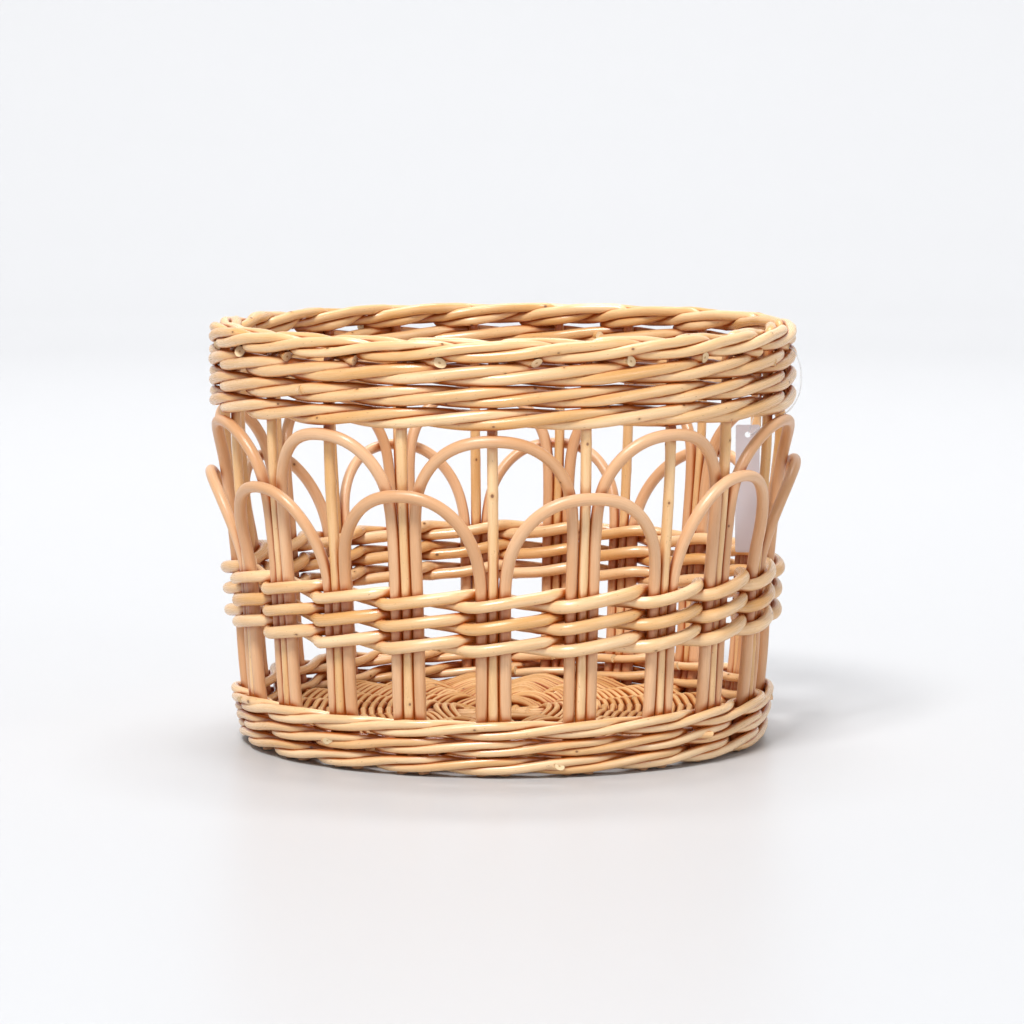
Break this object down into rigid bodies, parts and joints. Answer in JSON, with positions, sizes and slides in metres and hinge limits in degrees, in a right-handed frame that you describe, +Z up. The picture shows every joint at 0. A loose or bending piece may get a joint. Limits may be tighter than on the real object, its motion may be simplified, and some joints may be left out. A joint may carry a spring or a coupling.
{
  "type": "woven fruit basket",
  "caption": "Round open basket of willow stakes and woven bands, with two tiers of rattan arches in its openwork wall and a plaited border.",
  "frame": {"origin": "centre of the round foot, on the surface the basket stands on", "axes": "+Z up through the open mouth, -Y towards the front, +X to the right seen from the front"},
  "size_m": [0.3001, 0.2985, 0.211],
  "materials": {
    "rattan": "satin, smooth natural rattan",
    "willow_stake": "satin, peeled willow",
    "willow_weaver": "semi-gloss peeled willow",
    "willow_stick": "satin, thick peeled willow",
    "willow_base": "satin, thin peeled willow",
    "tag_film": "frosted translucent film",
    "nylon_line": "clear nylon line"
  },
  "bodies": {
    "root": {"base_weave": "willow_base", "bottom_wale_row_1": "willow_weaver", "bottom_wale_row_2": "willow_weaver", "bottom_wale_row_3": "willow_weaver", "hang_tag": "tag_film", "lower_arch_01": "rattan", "lower_arch_02": "rattan", "lower_arch_03": "rattan", "lower_arch_04": "rattan", "lower_arch_05": "rattan", "lower_arch_06": "rattan", "lower_arch_07": "rattan", "lower_arch_08": "rattan", "lower_arch_09": "rattan", "lower_arch_10": "rattan", "middle_weave_row_1": "willow_weaver", "middle_weave_row_2": "willow_weaver", "middle_weave_row_3": "willow_weaver", "slath_pierced_sticks": "willow_stick", "slath_through_sticks": "willow_stick", "stake_01": "willow_stake", "stake_02": "willow_stake", "stake_03": "willow_stake", "stake_04": "willow_stake", "stake_05": "willow_stake", "stake_06": "willow_stake", "stake_07": "willow_stake", "stake_08": "willow_stake", "stake_09": "willow_stake", "stake_10": "willow_stake", "stake_11": "willow_stake", "stake_12": "willow_stake", "stake_13": "willow_stake", "stake_14": "willow_stake", "stake_15": "willow_stake", "stake_16": "willow_stake", "stake_17": "willow_stake", "stake_18": "willow_stake", "stake_19": "willow_stake", "stake_20": "willow_stake", "tag_loop": "nylon_line", "top_wale_row_1": "willow_weaver", "top_wale_row_2": "willow_weaver", "top_wale_row_3": "willow_weaver", "upper_arch_01": "rattan", "upper_arch_02": "rattan", "upper_arch_03": "rattan", "upper_arch_04": "rattan", "upper_arch_05": "rattan", "upper_arch_06": "rattan", "upper_arch_07": "rattan", "upper_arch_08": "rattan", "upper_arch_09": "rattan", "upper_arch_10": "rattan"}
  },
  "joints": []
}
